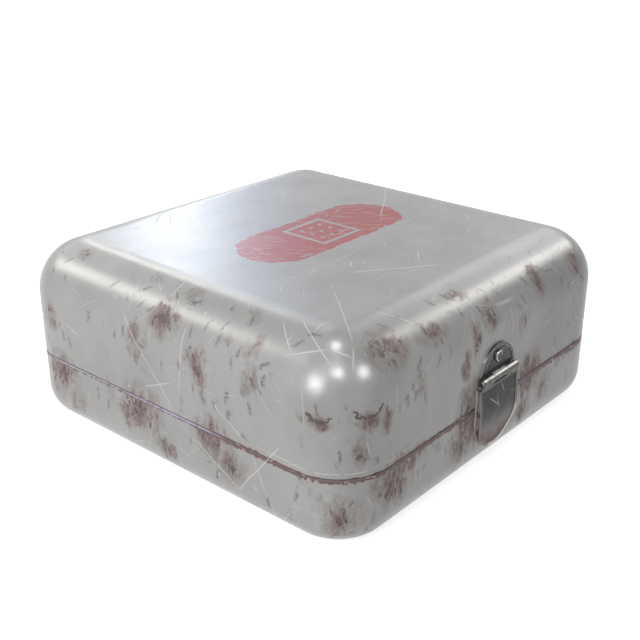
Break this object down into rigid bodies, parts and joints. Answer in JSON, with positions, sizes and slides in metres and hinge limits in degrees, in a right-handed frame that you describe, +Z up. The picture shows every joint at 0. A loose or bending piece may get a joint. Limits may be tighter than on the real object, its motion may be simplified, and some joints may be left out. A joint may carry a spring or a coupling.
{
  "type": "first aid box",
  "caption": "Square pressed-steel first aid box with rounded corners, a deep lid on two rear hinges and a snap latch with a bowed flap on its front.",
  "frame": {"origin": "middle of the underside, on the surface that the box stands on", "axes": "+Z up; the latch faces -Y and the hinges face +Y; +X along the hinge pins"},
  "size_m": [0.25, 0.2594, 0.108],
  "materials": {
    "shell_paint": "worn pale grey enamel, chipped, scratched and rust-stained",
    "latch_steel": "dark polished steel, scratched, with bright worn edges",
    "hinge_steel": "dull steel, rusted in the corners",
    "collar_steel": "bare tinned steel, dull and spotted",
    "spring_steel": "blued spring steel"
  },
  "bodies": {
    "base": {"base_shell": "shell_paint", "base_collar": "collar_steel", "hinge_base_leaf_left": "hinge_steel", "hinge_base_leaf_right": "hinge_steel", "hinge_pin_left": "hinge_steel", "hinge_pin_right": "hinge_steel", "hinge_base_rivets": "hinge_steel", "hinge_base_washers": "collar_steel", "keeper_plate": "collar_steel", "keeper_rivets": "latch_steel"},
    "lid": {"lid_shell": "shell_paint", "hinge_lid_leaf_left": "hinge_steel", "hinge_lid_leaf_right": "hinge_steel", "hinge_lid_rivets": "hinge_steel", "hinge_lid_washers": "collar_steel", "latch_plate": "latch_steel", "latch_pin": "latch_steel", "latch_backing_plate": "collar_steel", "latch_top_rivet": "latch_steel", "latch_foot_rivets": "latch_steel"},
    "latch": {"latch_flap": "latch_steel", "latch_spring": "spring_steel"}
  },
  "joints": [
    {"name": "lid_hinge", "type": "hinge", "parent": "base", "child": "lid", "pos_m": [0, 0.1275, 0.042], "axis": [-1, 0, 0], "range_deg": [0, 145], "deforming": ["latch_spring"]},
    {"name": "latch_pivot", "type": "hinge", "parent": "lid", "child": "latch", "pos_m": [0, -0.1275, 0.057], "axis": [-1, 0, 0], "range_deg": [0, 150], "deforming": ["latch_spring"]}
  ]
}
